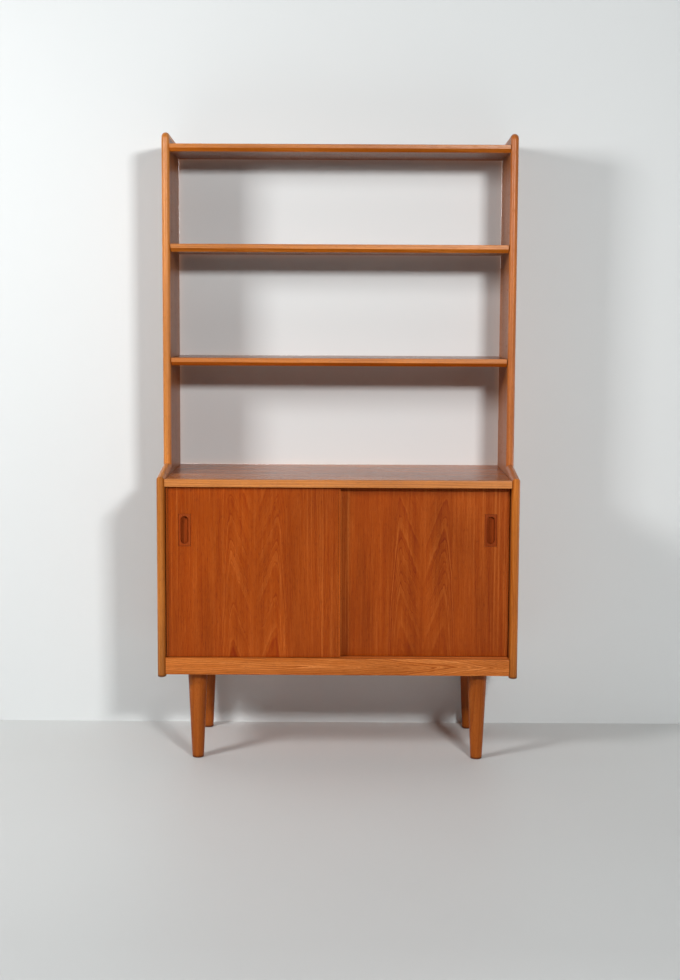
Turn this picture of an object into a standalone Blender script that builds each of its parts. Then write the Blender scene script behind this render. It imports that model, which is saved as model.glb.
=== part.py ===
"""Bookcase with adjustable shelves over a cabinet with two sliding doors.

Metres, +Z up, +X to the viewer's right, the doors face -Y. The origin is on the
floor, under the middle of the bounding box. Side boards run from the cabinet up to
the top shelf in one piece, and every free front edge carries a solid lipping.
"""
import math

import bmesh
import bpy
from mathutils import Matrix, Vector

# ---------------------------------------------------------------- overall size
WIDTH = 0.900
DEPTH = 0.410
SIDE_T = 0.020
SIDE_BOTTOM_Z = 0.218
UPPER_SETBACK = 0.168
SLOPE_LOW_Z = 0.722
SLOPE_HIGH_Z = 0.7405
SIDE_TOP_FRONT_Z = 1.577
SIDE_TOP_BACK_Z = 1.568
TOP_CORNER_R = 0.016
GAP = 0.0003

FRONT_Y = -DEPTH / 2
BACK_Y = DEPTH / 2
UPPER_FRONT_Y = FRONT_Y + UPPER_SETBACK
INNER_X = WIDTH / 2 - SIDE_T
PANEL_X = INNER_X - GAP

# ---------------------------------------------------------------- lippings
LIP_DEPTH = 0.014
SIDE_NOSE_R = SIDE_T / 2
NOSE_STEPS = 12
SHELF_BEVEL = 0.0088
SHELF_EDGE_R = 0.0015
CORNER_STEPS = 4
EDGE_R = 0.0025

# ---------------------------------------------------------------- shelves
TOP_SHELF_Z = 1.529
TOP_SHELF_T = 0.019
TOP_SHELF_SETBACK = 0.002
SHELF_T = 0.020
SHELF_SETBACK = 0.003
SHELF_SIDE_GAP = 0.0015
SHELF_END_EASE = 0.0008
UPPER_SHELF_Z = 1.2785
MIDDLE_SHELF_Z = 0.9905
SHELF_BACK_GAP = 0.001

# ---------------------------------------------------------------- cabinet
CABINET_FACE_Y = FRONT_Y + 0.002
CABINET_TOP_Z = 0.697
CABINET_TOP_T = 0.019
FLOOR_TOP_Z = 0.267
FLOOR_T = 0.018
RAIL_BOTTOM_Z = 0.225
REAR_RAIL_T = 0.0137
BACK_PANEL_T = 0.004
BACK_PANEL_INSET = 0.0023
INNER_SHELF_Z = 0.463
INNER_SHELF_T = 0.018
INNER_SHELF_FRONT_Y = -0.140
INNER_SHELF_BACK_Y = 0.196
INNER_LIP_DEPTH = 0.008

# ---------------------------------------------------------------- sliding doors
DOOR_T = 0.016
DOOR_WIDTH = 0.4352
DOOR_SIDE_GAP = 0.0015
DOOR_FACE_Y = {"left": FRONT_Y + 0.016, "right": FRONT_Y + 0.036}
DOOR_BOTTOM_Z = 0.268
DOOR_TOP_Z = 0.696
TONGUE_T = 0.006
TOP_TONGUE = 0.0055
GROOVE_T = 0.0068
TOP_GROOVE = 0.010
FLOOR_GROOVE = 0.005
EDGE_STRIP = 0.005
PULL_X = 0.3817
PULL_Z = 0.588
PULL_W = 0.030
PULL_H = 0.080
PULL_D = 0.011
SLOT_W = 0.0195
SLOT_H = 0.069
SLOT_D = 0.009
SLOT_STEPS = 12

# ---------------------------------------------------------------- shelf pins
PIN_R = 0.0025
PIN_HOLE_R = 0.0028
PIN_HOLE_DEPTH = 0.010
PIN_IN = 0.0092
PIN_OUT = 0.011
PIN_COLLAR_R = 0.0036
PIN_COLLAR_T = 0.0009
PIN_SIDES = 12
NOTCH_W = 0.006
NOTCH_H = 0.0065
NOTCH_L = 0.0105
ROW_PITCH = 0.048
UPPER_ROWS = range(-2, 10)
INNER_ROWS = range(-1, 3)
UPPER_PIN_Y = {"front": UPPER_FRONT_Y + 0.040, "rear": BACK_Y - 0.035}
INNER_PIN_Y = {"front": -0.110, "rear": 0.165}

# ---------------------------------------------------------------- legs
LEG_X = 0.354
LEG_Y = {"front": -0.147, "rear": 0.160}
LEG_FOOT_R = 0.0145
LEG_TAPER = 0.045
LEG_FOOT_ROUND = 0.0022
LEG_TOP_ROUND = 0.0010
LEG_STEPS = 32
PLATE_SIDE = 0.060
PLATE_T = 0.0025
PLATE_HOLE_R = 0.005
BOLT_R = 0.004
BOLT_BORE_R = 0.0043
BOLT_IN_LEG = 0.028
BOLT_IN_FLOOR = 0.011
BORE_CLEAR = 0.001

SIDES = {"left": -1, "right": 1}


def material(name, colour, roughness, metallic=0.0):
    """A plain Principled material, colour given as linear RGB."""
    mat = bpy.data.materials.new(name)
    mat.use_nodes = True
    shader = mat.node_tree.nodes["Principled BSDF"]
    shader.inputs["Base Color"].default_value = (*colour, 1.0)
    shader.inputs["Roughness"].default_value = roughness
    shader.inputs["Metallic"].default_value = metallic
    mat.diffuse_color = (*colour, 1.0)
    return mat


def add_object(name, bm, mat, location=(0, 0, 0), smooth=False):
    """Turns a bmesh into a named object whose origin is at location."""
    bmesh.ops.recalc_face_normals(bm, faces=bm.faces)
    mesh = bpy.data.meshes.new(name)
    bm.to_mesh(mesh)
    bm.free()
    if smooth:
        mesh.shade_smooth()
        mesh.set_sharp_from_angle(angle=math.radians(40))
    mesh.materials.append(mat)
    obj = bpy.data.objects.new(name, mesh)
    obj.location = location
    bpy.context.scene.collection.objects.link(obj)
    return obj


def board(name, mat, low, high):
    """A flat board between two opposite corners, its origin at its middle."""
    low, high = Vector(low), Vector(high)
    bm = bmesh.new()
    bmesh.ops.create_cube(bm, size=1.0, matrix=Matrix.Diagonal((*(high - low), 1.0)))
    return add_object(name, bm, mat, (low + high) / 2)


def extruded(name, mat, outline, x_low, x_high, smooth=False):
    """A closed (y, z) outline extruded along X."""
    bm = bmesh.new()
    ring = [bm.verts.new((x_low, y, z)) for y, z in outline]
    face = bm.faces.new(ring)
    pushed = bmesh.ops.extrude_face_region(bm, geom=[face])
    moved = [item for item in pushed["geom"] if isinstance(item, bmesh.types.BMVert)]
    bmesh.ops.translate(bm, verts=moved, vec=(x_high - x_low, 0, 0))
    return add_object(name, bm, mat, smooth=smooth)


def turned(name, mat, profile, steps, location, axis="Z"):
    """An (r, z) profile, from axis to axis, spun once round +Z or laid along +X."""
    bm = bmesh.new()
    line = [bm.verts.new((r, 0, z)) for r, z in profile]
    edges = [bm.edges.new(pair) for pair in zip(line, line[1:])]
    bmesh.ops.spin(bm, geom=line + edges, cent=(0, 0, 0), axis=(0, 0, 1),
                   angle=math.tau, steps=steps, use_merge=True)
    bmesh.ops.remove_doubles(bm, verts=bm.verts, dist=1e-6)
    if axis == "X":
        bmesh.ops.rotate(bm, verts=bm.verts, matrix=Matrix.Rotation(math.pi / 2, 3, "Y"))
    return add_object(name, bm, mat, location, smooth=True)


def cutter(name, bm, location=(0, 0, 0)):
    """A closed shape used only by Boolean modifiers."""
    bmesh.ops.recalc_face_normals(bm, faces=bm.faces)
    mesh = bpy.data.meshes.new(name)
    bm.to_mesh(mesh)
    bm.free()
    obj = bpy.data.objects.new(name, mesh)
    obj.location = location
    obj.hide_render = True
    obj.display_type = "WIRE"
    bpy.context.scene.collection.objects.link(obj)
    return obj


def cut(target, tool):
    """Subtracts a cutter with the exact solver."""
    mod = target.modifiers.new(tool.name, "BOOLEAN")
    mod.operation = "DIFFERENCE"
    mod.solver = "EXACT"
    mod.object = tool


def ease_edges(obj, width, angle):
    """Breaks the sharp edges of a solid lipping."""
    mod = obj.modifiers.new("eased edges", "BEVEL")
    mod.width = width
    mod.segments = 1
    mod.limit_method = "ANGLE"
    mod.angle_limit = math.radians(angle)


def bevelled_outline(y_front, z_low, z_high, depth):
    """Cross-section of a shelf lipping: rounded on top, bevelled at 45 degrees below."""
    points = [(y_front + depth, z_high)]
    for step in range(CORNER_STEPS + 1):
        turn = math.pi / 2 * step / CORNER_STEPS
        points.append((y_front + SHELF_EDGE_R * (1 - math.sin(turn)),
                       z_high - SHELF_EDGE_R * (1 - math.cos(turn))))
    return points + [(y_front, z_low + SHELF_BEVEL), (y_front + SHELF_BEVEL, z_low),
                     (y_front + depth, z_low)]


def rounded_outline(y_front, z_low, z_high, depth, radius):
    """Cross-section of a rail: square, with its two front edges rounded."""
    points = [(y_front + depth, z_high)]
    for step in range(CORNER_STEPS + 1):
        turn = math.pi / 2 * step / CORNER_STEPS
        points.append((y_front + radius - radius * math.sin(turn),
                       z_high - radius + radius * math.cos(turn)))
    for step in range(CORNER_STEPS + 1):
        turn = math.pi / 2 * step / CORNER_STEPS
        points.append((y_front + radius - radius * math.cos(turn),
                       z_low + radius - radius * math.sin(turn)))
    points.append((y_front + depth, z_low))
    return points


# ---------------------------------------------------------------- side outline
def unit(vector):
    return vector / vector.length


def inward(start, end):
    """Unit normal in the (y, z) plane, pointing into the board."""
    along = unit(end - start)
    return Vector((along.y, -along.x))


FRONT_LINE = [
    Vector((FRONT_Y, SIDE_BOTTOM_Z)),
    Vector((FRONT_Y, SLOPE_LOW_Z)),
    Vector((UPPER_FRONT_Y, SLOPE_HIGH_Z)),
    Vector((UPPER_FRONT_Y, SIDE_TOP_FRONT_Z)),
    Vector((BACK_Y, SIDE_TOP_BACK_Z)),
]
NORMALS = [inward(a, b) for a, b in zip(FRONT_LINE, FRONT_LINE[1:])]


def mitre(first, second):
    """Vector that keeps the same depth from two neighbouring edges."""
    return (first + second) / (1 + first.dot(second))


def corner_station(part):
    """Apex point and inward normal on the rounded top corner, part from 0 to 1."""
    start = math.atan2(NORMALS[2].y, NORMALS[2].x)
    end = math.atan2(NORMALS[3].y, NORMALS[3].x)
    centre = FRONT_LINE[3] + mitre(NORMALS[2], NORMALS[3]) * TOP_CORNER_R
    angle = start + (end - start) * part
    normal = Vector((math.cos(angle), math.sin(angle)))
    return centre - normal * TOP_CORNER_R, normal


def offset_line(depth):
    """The side outline moved inward by depth, its top corner still rounded."""
    points = [FRONT_LINE[0] + NORMALS[0] * depth]
    for index in (1, 2):
        points.append(FRONT_LINE[index] + mitre(NORMALS[index - 1], NORMALS[index]) * depth)
    for step in range(CORNER_STEPS + 1):
        apex, normal = corner_station(step / CORNER_STEPS)
        points.append(apex + normal * depth)
    last = NORMALS[-1] * depth
    slope = (SIDE_TOP_BACK_Z - SIDE_TOP_FRONT_Z) / (BACK_Y - UPPER_FRONT_Y)
    points.append(FRONT_LINE[-1] + Vector((0, last.y - last.x * slope)))
    return points


def side_lip(name, mat, x_middle, stations):
    """A half-round lipping swept through (apex, depth vector) stations."""
    section = []
    for step in range(NOSE_STEPS + 1):
        turn = math.pi * step / NOSE_STEPS
        section.append((SIDE_NOSE_R * math.cos(turn), SIDE_NOSE_R * (1 - math.sin(turn))))
    section = [(SIDE_NOSE_R, LIP_DEPTH)] + section + [(-SIDE_NOSE_R, LIP_DEPTH)]
    bm = bmesh.new()
    loops = []
    for apex, inwards in stations:
        verts = []
        for x, depth in section:
            at = apex + inwards * depth
            verts.append(bm.verts.new((x_middle + x, at.x, at.y)))
        loops.append([bm.edges.new(pair) for pair in zip(verts, verts[1:] + verts[:1])])
    for first, second in zip(loops, loops[1:]):
        bmesh.ops.bridge_loops(bm, edges=first + second)
    bmesh.ops.holes_fill(bm, edges=loops[0] + loops[-1], sides=len(section))
    return add_object(name, bm, mat, smooth=True)


# ---------------------------------------------------------------- model
for old in list(bpy.data.objects):
    bpy.data.objects.remove(old, do_unlink=True)

SIDE_TEAK = material("teak_side_veneer", (0.300, 0.118, 0.045), 0.42)
LIP_TEAK = material("teak_lipping", (0.470, 0.185, 0.062), 0.40)
SHELF_TEAK = material("teak_shelf_veneer", (0.270, 0.105, 0.040), 0.42)
DOOR_TEAK = material("teak_door_veneer", (0.375, 0.072, 0.011), 0.40)
RAIL_TEAK = material("teak_rail", (0.450, 0.135, 0.028), 0.42)
PULL_TEAK = material("teak_pull", (0.300, 0.075, 0.016), 0.45)
LEG_TEAK = material("teak_leg", (0.305, 0.076, 0.012), 0.42)
BACK_PLY = material("plywood_back", (0.330, 0.190, 0.095), 0.70)
STEEL = material("zinc_steel", (0.560, 0.560, 0.540), 0.35, 1.0)
BRASS = material("brass", (0.780, 0.570, 0.220), 0.30, 1.0)


def build_sides():
    outline = [(p.x, p.y) for p in offset_line(LIP_DEPTH + GAP)]
    outline.append((BACK_Y, SIDE_BOTTOM_Z))
    for side, sign in SIDES.items():
        low, high = sorted((sign * INNER_X, sign * WIDTH / 2))
        panel = extruded(f"side_panel_{side}", SIDE_TEAK, outline, low, high)
        cut(panel, pin_holes(side, sign))
        build_side_lips(side, sign * (WIDTH - SIDE_T) / 2)


def pin_holes(side, sign):
    """Every blind shelf-pin hole of one side, as one cutter."""
    places = []
    for row in UPPER_ROWS:
        places += [(y, pin_height(MIDDLE_SHELF_Z) + row * ROW_PITCH) for y in UPPER_PIN_Y.values()]
    for row in INNER_ROWS:
        places += [(y, pin_height(INNER_SHELF_Z) + row * ROW_PITCH) for y in INNER_PIN_Y.values()]
    bm = bmesh.new()
    along_x = Matrix.Rotation(math.pi / 2, 4, "Y")
    for y, z in places:
        bmesh.ops.create_cone(bm, cap_ends=True, segments=PIN_SIDES, radius1=PIN_HOLE_R,
                              radius2=PIN_HOLE_R, depth=2 * PIN_HOLE_DEPTH,
                              matrix=Matrix.Translation((sign * INNER_X, y, z)) @ along_x)
    return cutter(f"cut_pin_holes_{side}", bm)


def pin_height(shelf_z):
    """Height of the pin axis in the notches of a shelf whose underside is at shelf_z."""
    return shelf_z + NOTCH_H - GAP - PIN_R


def pin_notches(name, shelf_z, x_end, rows):
    """Blind notches in a shelf's underside, one over each pin, as one cutter."""
    boxes = []
    for sign in SIDES.values():
        low, high = sorted((sign * (x_end - NOTCH_L), sign * (x_end + NOTCH_L)))
        for y in rows.values():
            boxes.append(((low, y - NOTCH_W / 2, shelf_z - NOTCH_H),
                          (high, y + NOTCH_W / 2, shelf_z + NOTCH_H)))
    return cutter(f"cut_{name}_notches", blocks(boxes))


def build_side_lips(side, x_middle):
    """Lower, slope, upper and top lengths, mitred to each other."""
    turns = [mitre(NORMALS[0], NORMALS[1]), mitre(NORMALS[1], NORMALS[2])]
    runs = [unit(b - a) * GAP / 2 for a, b in zip(FRONT_LINE, FRONT_LINE[1:])]
    lower = [(FRONT_LINE[0], NORMALS[0]), (FRONT_LINE[1] - runs[0], turns[0])]
    slope = [(FRONT_LINE[1] + runs[1], turns[0]), (FRONT_LINE[2] - runs[1], turns[1])]
    upper = [(FRONT_LINE[2] + runs[2], turns[1])]
    top = []
    half = CORNER_STEPS // 2
    for step in range(CORNER_STEPS + 1):
        apex, normal = corner_station(step / CORNER_STEPS)
        shift = Vector((-normal.y, normal.x)) * GAP / 2
        if step <= half:
            upper.append((apex - shift * (step == half), normal))
        if step >= half:
            top.append((apex + shift * (step == half), normal))
    top.append((FRONT_LINE[4], Vector((0, -1))))
    for part, stations in (("lower", lower), ("slope", slope), ("upper", upper), ("top", top)):
        side_lip(f"side_lip_{side}_{part}", LIP_TEAK, x_middle, stations)


def shelf(name, z, thickness, x_half, y_front, y_back):
    """A veneered board with a solid bevelled front lipping."""
    body = board(name, SHELF_TEAK, (-x_half, y_front + LIP_DEPTH + GAP, z),
                 (x_half, y_back, z + thickness))
    outline = bevelled_outline(y_front, z, z + thickness, LIP_DEPTH)
    lip = extruded(f"{name}_lip", LIP_TEAK, outline, -x_half, x_half, smooth=True)
    return [body, lip]


def build_shelves():
    shelf("top_shelf", TOP_SHELF_Z, TOP_SHELF_T, PANEL_X,
          UPPER_FRONT_Y + TOP_SHELF_SETBACK, BACK_Y)
    loose = INNER_X - SHELF_SIDE_GAP
    for name, z in (("upper_shelf", UPPER_SHELF_Z), ("middle_shelf", MIDDLE_SHELF_Z)):
        parts = shelf(name, z, SHELF_T, loose, UPPER_FRONT_Y + SHELF_SETBACK,
                      BACK_Y - SHELF_BACK_GAP)
        ease_edges(parts[1], SHELF_END_EASE, 60)
        cut(parts[0], pin_notches(name, z, loose, UPPER_PIN_Y))
        slide(f"{name}_slide", parts, (0, 0, z))
    inner = board("inner_shelf", SHELF_TEAK,
                  (-loose, INNER_SHELF_FRONT_Y + INNER_LIP_DEPTH + GAP, INNER_SHELF_Z),
                  (loose, INNER_SHELF_BACK_Y, INNER_SHELF_Z + INNER_SHELF_T))
    cut(inner, pin_notches("inner_shelf", INNER_SHELF_Z, loose, INNER_PIN_Y))
    outline = rounded_outline(INNER_SHELF_FRONT_Y, INNER_SHELF_Z,
                              INNER_SHELF_Z + INNER_SHELF_T, INNER_LIP_DEPTH, EDGE_R)
    lip = extruded("inner_shelf_lip", LIP_TEAK, outline, -loose, loose, smooth=True)
    slide("inner_shelf_slide", [inner, lip], (0, 0, INNER_SHELF_Z))


def slide(name, parts, location):
    """Parents a moving body's pieces to an empty on its line of travel."""
    empty = bpy.data.objects.new(name, None)
    empty.location = location
    bpy.context.scene.collection.objects.link(empty)
    for part in parts:
        part.parent = empty
        part.matrix_parent_inverse = Matrix.Translation(-Vector(location))


def grooved(outline_low, outline_high, groove_z, from_top):
    """Board outline in (y, z) with one groove for each door's tongue."""
    (y_low, z_low), (y_high, z_high) = outline_low, outline_high
    edge = z_high if from_top else z_low
    far = z_low if from_top else z_high
    points = [(y_low, far), (y_low, edge)]
    for side in SIDES:
        middle = DOOR_FACE_Y[side] + DOOR_T / 2
        points += [(middle - GROOVE_T / 2, edge), (middle - GROOVE_T / 2, groove_z),
                   (middle + GROOVE_T / 2, groove_z), (middle + GROOVE_T / 2, edge)]
    return points + [(y_high, edge), (y_high, far)]


def build_cabinet():
    board_y = CABINET_FACE_Y + LIP_DEPTH + GAP
    top_high = CABINET_TOP_Z + CABINET_TOP_T
    outline = grooved((board_y, CABINET_TOP_Z), (BACK_Y, top_high),
                      CABINET_TOP_Z + TOP_GROOVE, from_top=False)
    extruded("cabinet_top", SHELF_TEAK, outline, -PANEL_X, PANEL_X)
    outline = rounded_outline(CABINET_FACE_Y, CABINET_TOP_Z, top_high, LIP_DEPTH, EDGE_R)
    extruded("cabinet_top_lip", LIP_TEAK, outline, -PANEL_X, PANEL_X, smooth=True)

    floor_back = BACK_Y - REAR_RAIL_T - GAP
    floor_low = FLOOR_TOP_Z - FLOOR_T
    outline = grooved((board_y, floor_low), (floor_back, FLOOR_TOP_Z),
                      FLOOR_TOP_Z - FLOOR_GROOVE, from_top=True)
    floor = extruded("cabinet_floor", SHELF_TEAK, outline, -PANEL_X, PANEL_X)
    cut(floor, bolt_holes(floor_low))
    outline = rounded_outline(CABINET_FACE_Y, RAIL_BOTTOM_Z, FLOOR_TOP_Z, LIP_DEPTH, EDGE_R)
    extruded("front_rail", RAIL_TEAK, outline, -PANEL_X, PANEL_X, smooth=True)
    board("rear_rail", RAIL_TEAK, (-PANEL_X, BACK_Y - REAR_RAIL_T, RAIL_BOTTOM_Z),
          (PANEL_X, BACK_Y, FLOOR_TOP_Z))
    back_y = BACK_Y - BACK_PANEL_INSET
    board("cabinet_back", BACK_PLY, (-PANEL_X, back_y - BACK_PANEL_T, FLOOR_TOP_Z + GAP),
          (PANEL_X, back_y, CABINET_TOP_Z - GAP))


def bolt_holes(floor_low):
    """The four blind holes for the leg bolts, as one cutter."""
    bm = bmesh.new()
    for sign in SIDES.values():
        for y in LEG_Y.values():
            bmesh.ops.create_cone(bm, cap_ends=True, segments=PIN_SIDES, radius1=BOLT_BORE_R,
                                  radius2=BOLT_BORE_R, depth=2 * (BOLT_IN_FLOOR + BORE_CLEAR),
                                  matrix=Matrix.Translation((sign * LEG_X, y, floor_low)))
    return cutter("cut_bolt_holes", bm)


def blocks(corners):
    """Boxes between pairs of opposite corners, for one cutter."""
    bm = bmesh.new()
    for low, high in corners:
        low, high = Vector(low), Vector(high)
        matrix = Matrix.Translation((low + high) / 2) @ Matrix.Diagonal((*(high - low), 1.0))
        bmesh.ops.create_cube(bm, size=1.0, matrix=matrix)
    return bm


def slot_tool(x, z, y_low, y_high):
    """A round-ended slot, longer in Z, extruded along Y."""
    bm = bmesh.new()
    radius = SLOT_W / 2
    straight = SLOT_H / 2 - radius
    ring = []
    for end in (1, -1):
        for step in range(SLOT_STEPS + 1):
            turn = math.pi * step / SLOT_STEPS
            ring.append(bm.verts.new((x + end * radius * math.cos(turn), y_low,
                                      z + end * (straight + radius * math.sin(turn)))))
    face = bm.faces.new(ring)
    pushed = bmesh.ops.extrude_face_region(bm, geom=[face])
    moved = [item for item in pushed["geom"] if isinstance(item, bmesh.types.BMVert)]
    bmesh.ops.translate(bm, verts=moved, vec=(0, y_high - y_low, 0))
    return bm


def build_door(side, sign):
    """Panel with a tongue along its top and bottom, edge strips and finger pull."""
    face = DOOR_FACE_Y[side]
    back = face + DOOR_T
    outer = sign * (INNER_X - DOOR_SIDE_GAP)
    low, high = sorted((outer, outer - sign * DOOR_WIDTH))
    tongue = (face + (DOOR_T - TONGUE_T) / 2, face + (DOOR_T + TONGUE_T) / 2)
    foot = FLOOR_TOP_Z - FLOOR_GROOVE + GAP
    head = DOOR_TOP_Z + TOP_TONGUE
    outline = [(face, DOOR_BOTTOM_Z), (face, DOOR_TOP_Z), (tongue[0], DOOR_TOP_Z),
               (tongue[0], head), (tongue[1], head), (tongue[1], DOOR_TOP_Z),
               (back, DOOR_TOP_Z), (back, DOOR_BOTTOM_Z), (tongue[1], DOOR_BOTTOM_Z),
               (tongue[1], foot), (tongue[0], foot), (tongue[0], DOOR_BOTTOM_Z)]
    inset = EDGE_STRIP + GAP
    panel = extruded(f"{side}_door_panel", DOOR_TEAK, outline, low + inset, high - inset)
    x = sign * PULL_X
    half_w, half_h = PULL_W / 2, PULL_H / 2
    pocket = blocks([((x - half_w - GAP, face - PULL_D, PULL_Z - half_h - GAP),
                      (x + half_w + GAP, face + PULL_D + GAP, PULL_Z + half_h + GAP))])
    cut(panel, cutter(f"cut_{side}_pull_pocket", pocket))
    strips = [board(f"{side}_door_edge_left", LIP_TEAK, (low, face, DOOR_BOTTOM_Z),
                    (low + EDGE_STRIP, back, DOOR_TOP_Z)),
              board(f"{side}_door_edge_right", LIP_TEAK, (high - EDGE_STRIP, face, DOOR_BOTTOM_Z),
                    (high, back, DOOR_TOP_Z))]
    pull = board(f"{side}_door_pull", PULL_TEAK, (x - half_w, face, PULL_Z - half_h),
                 (x + half_w, face + PULL_D, PULL_Z + half_h))
    slot = slot_tool(x, PULL_Z, face - SLOT_D, face + SLOT_D)
    cut(pull, cutter(f"cut_{side}_pull_slot", slot))
    slide(f"{side}_door_slide", [panel, *strips, pull], ((low + high) / 2, face, DOOR_BOTTOM_Z))


def build_pins():
    """Four collared pins in the notches of each adjustable shelf."""
    shelves = (("upper", UPPER_SHELF_Z, UPPER_PIN_Y), ("middle", MIDDLE_SHELF_Z, UPPER_PIN_Y),
               ("inner", INNER_SHELF_Z, INNER_PIN_Y))
    profile = [(0, -PIN_IN), (PIN_R, -PIN_IN), (PIN_R, GAP), (PIN_COLLAR_R, GAP),
               (PIN_COLLAR_R, PIN_COLLAR_T + GAP), (PIN_R, PIN_COLLAR_T + GAP),
               (PIN_R, PIN_OUT), (0, PIN_OUT)]
    for shelf_name, shelf_z, rows in shelves:
        for side, sign in SIDES.items():
            for end, y in rows.items():
                pin = turned(f"shelf_pin_{shelf_name}_{side}_{end}", BRASS, profile, PIN_SIDES,
                             (sign * INNER_X, y, pin_height(shelf_z)), axis="X")
                if sign > 0:
                    pin.rotation_euler = (0, 0, math.pi)


def build_legs():
    """Turned tapered legs, each with its threaded plate and hanger bolt."""
    floor_low = FLOOR_TOP_Z - FLOOR_T
    plate_low = floor_low - GAP - PLATE_T
    leg_top = plate_low - GAP
    top_r = LEG_FOOT_R + LEG_TAPER * leg_top
    bore_low = leg_top - BOLT_IN_LEG - BORE_CLEAR
    profile = [(0, 0), (LEG_FOOT_R - LEG_FOOT_ROUND, 0)]
    for step in range(1, CORNER_STEPS + 1):
        turn = math.pi / 2 * step / CORNER_STEPS
        profile.append((LEG_FOOT_R - LEG_FOOT_ROUND * (1 - math.sin(turn)),
                        LEG_FOOT_ROUND * (1 - math.cos(turn))))
    profile += [(top_r, leg_top - LEG_TOP_ROUND), (top_r - LEG_TOP_ROUND, leg_top),
                (BOLT_BORE_R, leg_top), (BOLT_BORE_R, bore_low), (0, bore_low)]
    bolt = [(0, leg_top - BOLT_IN_LEG), (BOLT_R, leg_top - BOLT_IN_LEG),
            (BOLT_R, floor_low + BOLT_IN_FLOOR), (0, floor_low + BOLT_IN_FLOOR)]
    for side, sign in SIDES.items():
        for end, y in LEG_Y.items():
            x = sign * LEG_X
            turned(f"leg_{end}_{side}", LEG_TEAK, profile, LEG_STEPS, (x, y, 0))
            turned(f"leg_bolt_{end}_{side}", STEEL, bolt, PIN_SIDES, (x, y, 0))
            half = PLATE_SIDE / 2
            plate = board(f"leg_plate_{end}_{side}", STEEL, (x - half, y - half, plate_low),
                          (x + half, y + half, plate_low + PLATE_T))
            hole = bmesh.new()
            bmesh.ops.create_cone(hole, cap_ends=True, segments=PIN_SIDES, radius1=PLATE_HOLE_R,
                                  radius2=PLATE_HOLE_R, depth=4 * PLATE_T)
            cut(plate, cutter(f"cut_plate_{end}_{side}", hole, (x, y, plate_low + PLATE_T / 2)))


build_sides()
build_shelves()
build_cabinet()
for door_side, door_sign in SIDES.items():
    build_door(door_side, door_sign)
build_pins()
build_legs()
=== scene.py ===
"""Looks for the bookcase: fine shapes, wood materials, light and camera.

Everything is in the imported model's frame, in metres, +Z up, with the doors facing -Y.
Each piece's mesh lies where it belongs and its object sits at the origin, so a
material's object coordinates are the frame's coordinates and move with the piece.
"""
import math

import bmesh
import bpy
from mathutils import Matrix, Vector


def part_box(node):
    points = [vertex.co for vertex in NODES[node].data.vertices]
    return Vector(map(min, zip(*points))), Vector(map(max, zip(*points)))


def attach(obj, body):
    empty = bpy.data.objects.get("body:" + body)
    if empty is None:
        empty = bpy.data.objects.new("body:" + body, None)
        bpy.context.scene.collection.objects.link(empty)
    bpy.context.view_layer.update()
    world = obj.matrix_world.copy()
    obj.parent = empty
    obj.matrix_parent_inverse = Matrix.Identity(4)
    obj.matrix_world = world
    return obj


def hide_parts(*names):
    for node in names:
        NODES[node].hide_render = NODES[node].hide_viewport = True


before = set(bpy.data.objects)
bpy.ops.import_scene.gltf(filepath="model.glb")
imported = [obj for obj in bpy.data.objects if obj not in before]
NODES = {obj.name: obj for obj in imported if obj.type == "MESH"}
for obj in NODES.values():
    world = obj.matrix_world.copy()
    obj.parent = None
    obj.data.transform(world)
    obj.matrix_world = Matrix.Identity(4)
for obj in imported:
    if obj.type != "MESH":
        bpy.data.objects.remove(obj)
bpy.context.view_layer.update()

SIDES = {"left": -1, "right": 1}

# ---------------------------------------------------------------- sizes shared with the CAD
WIDTH = 0.900
DEPTH = 0.410
SIDE_T = 0.020
SIDE_BOTTOM_Z = 0.218
UPPER_SETBACK = 0.168
SLOPE_LOW_Z = 0.722
SLOPE_HIGH_Z = 0.7405
SIDE_TOP_FRONT_Z = 1.577
SIDE_TOP_BACK_Z = 1.568
TOP_CORNER_R = 0.016
LIP_DEPTH = 0.014
LIP_FOOT_EASE = ((0.0, 0.0024), (0.0004, 0.0012), (0.0012, 0.0004), (0.0024, 0.0))
GAP = 0.0003
FRONT_Y = -DEPTH / 2
BACK_Y = DEPTH / 2
UPPER_FRONT_Y = FRONT_Y + UPPER_SETBACK
LEG_X = 0.354
LEG_Y = {"front": -0.147, "rear": 0.160}
LEG_FOOT_R = 0.0145
LEG_TAPER = 0.045
LEG_FOOT_ROUND = 0.0022
LEG_TOP_EASE = 0.0012
PULL_X = 0.3817
PULL_Z = 0.588
SLOT_W = 0.0195
SLOT_H = 0.069
SLOT_D = 0.009
PULL_EASE = 0.0006

# ---------------------------------------------------------------- stage, light and camera
# gap behind the bookcase; how near a back is when the wall is clear to it, and how much
# deeper the cabinet's back lies than the boards' edges
WALL_GAP = 0.008
WALL_CLEAR_REACH = 0.011
CABINET_BACK_RECESS = 0.012
STAGE_HALF_WIDTH = 3.0
STAGE_HEIGHT = 3.6
STAGE_FRONT_Y = -3.0
# pale floor paint near the camera and near the wall; the change between them is painted shade and light
FLOOR_NEAR_PAINTED_SHADE = (0.550, 0.564, 0.561, 1)
FLOOR_FAR_PAINTED_LIGHT = (0.722, 0.743, 0.738, 1)
FLOOR_PAINTED_SHADE_Y = (-1.4, -0.2)
FLOOR_CLOUD, FLOOR_CLOUD_WAVES = 0.1, 1.2
FLOOR_ROUGH = 0.50
WALL_PAINT = (0.745, 0.770, 0.771, 1)
WALL_ROUGH = 0.8
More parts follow.
